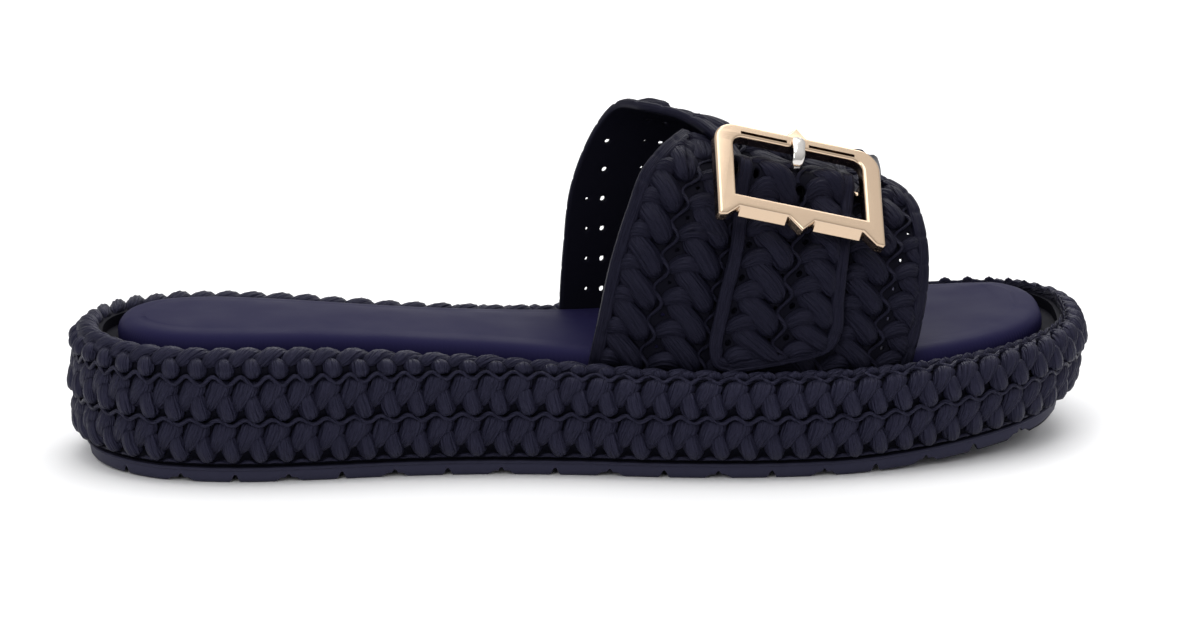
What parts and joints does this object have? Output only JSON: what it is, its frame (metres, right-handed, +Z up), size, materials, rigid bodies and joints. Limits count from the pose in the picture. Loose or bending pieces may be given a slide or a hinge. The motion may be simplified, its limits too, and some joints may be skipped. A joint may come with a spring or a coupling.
{
  "type": "slide sandal",
  "caption": "Platform slide sandal with a woven band, a buckled strap over a woven side panel, a padded footbed and a braided sole edge.",
  "frame": {"origin": "middle of the underside of the object's box, on the floor the sandal stands on", "axes": "+Z up, +X from the heel to the toe, +Y to the inner side of the foot"},
  "size_m": [0.2734, 0.1014, 0.0921],
  "materials": {
    "tread_rubber": "matte moulded rubber, near black navy",
    "platform_foam": "satin moulded EVA foam, dark navy",
    "footbed_foam": "matte smooth EVA foam, slate violet",
    "woven_upper": "satin moulded soft rubber with a woven relief, dark navy",
    "buckle_gold": "polished pale gold plating",
    "prong_silver": "polished nickel plating"
  },
  "bodies": {
    "root": {"outsole": "tread_rubber", "midsole": "platform_foam", "insole": "footbed_foam", "band_strap": "woven_upper", "side_panel": "woven_upper", "buckle_frame": "buckle_gold", "buckle_prong": "prong_silver"}
  },
  "joints": []
}
